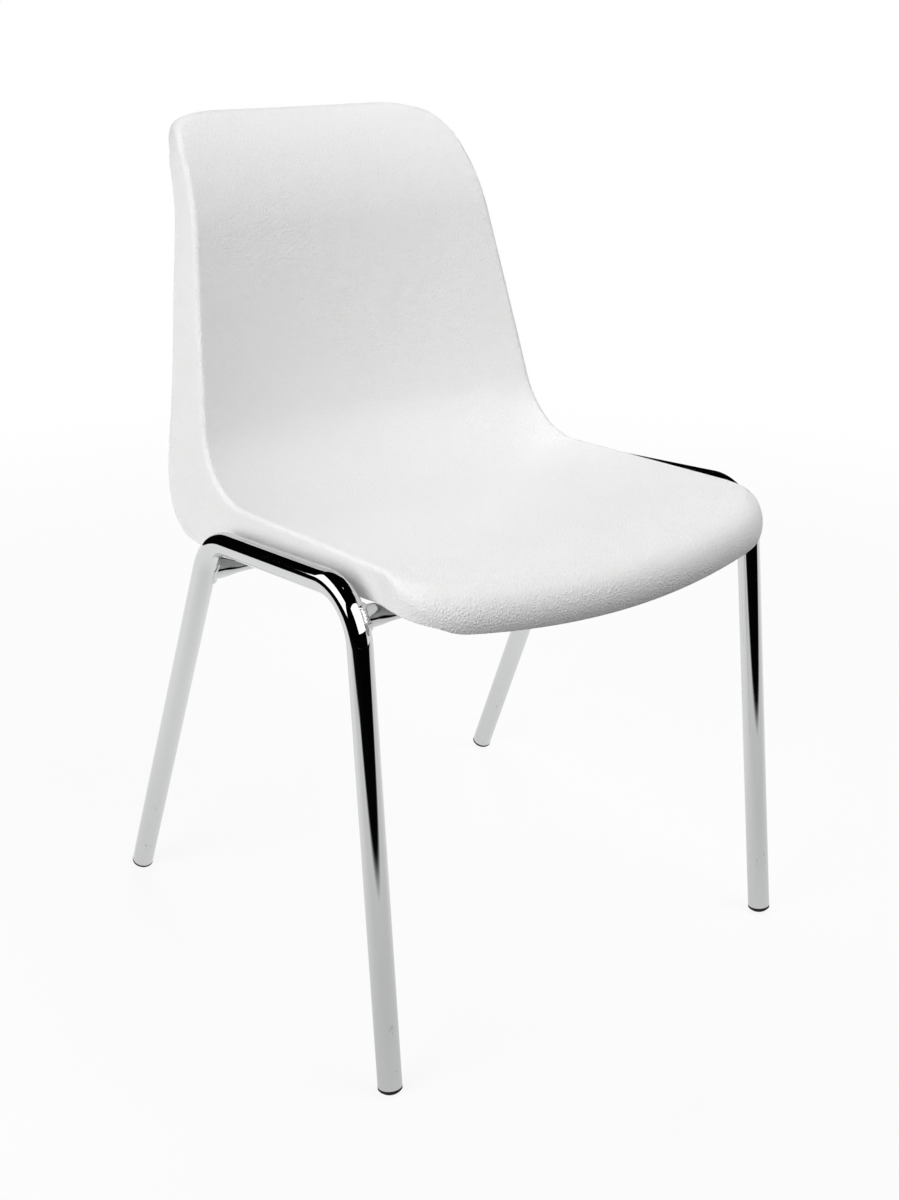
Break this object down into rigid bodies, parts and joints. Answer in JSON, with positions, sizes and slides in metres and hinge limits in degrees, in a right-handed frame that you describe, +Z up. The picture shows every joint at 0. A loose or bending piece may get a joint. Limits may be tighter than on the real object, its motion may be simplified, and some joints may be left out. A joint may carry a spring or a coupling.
{
  "type": "stacking chair",
  "caption": "Stacking side chair: a one-piece moulded seat and back shell with a deep rolled skirt, on bent tube legs joined by pressed crossbars.",
  "frame": {"origin": "centre of the chair's footprint box, on the floor under the seat", "axes": "+Z up from the floor, -Y the way the sitter faces, +X to the sitter's left"},
  "size_m": [0.4974, 0.5354, 0.783],
  "materials": {
    "shell": "fine leather grain, satin",
    "frame": "bright chrome plate",
    "crossbar": "bright chrome plate over pressed tube",
    "weld": "plated weld bead, uneven",
    "glide": "black moulded plastic",
    "screw": "zinc plated"
  },
  "bodies": {
    "root": {"seat_shell": "shell", "side_frame_left": "frame", "side_frame_right": "frame", "front_crossbar": "crossbar", "rear_crossbar": "crossbar", "weld_front_left": "weld", "weld_front_right": "weld", "weld_rear_left": "weld", "weld_rear_right": "weld", "glide_front_left": "glide", "glide_front_right": "glide", "glide_rear_left": "glide", "glide_rear_right": "glide", "shell_screws": "screw"}
  },
  "joints": []
}
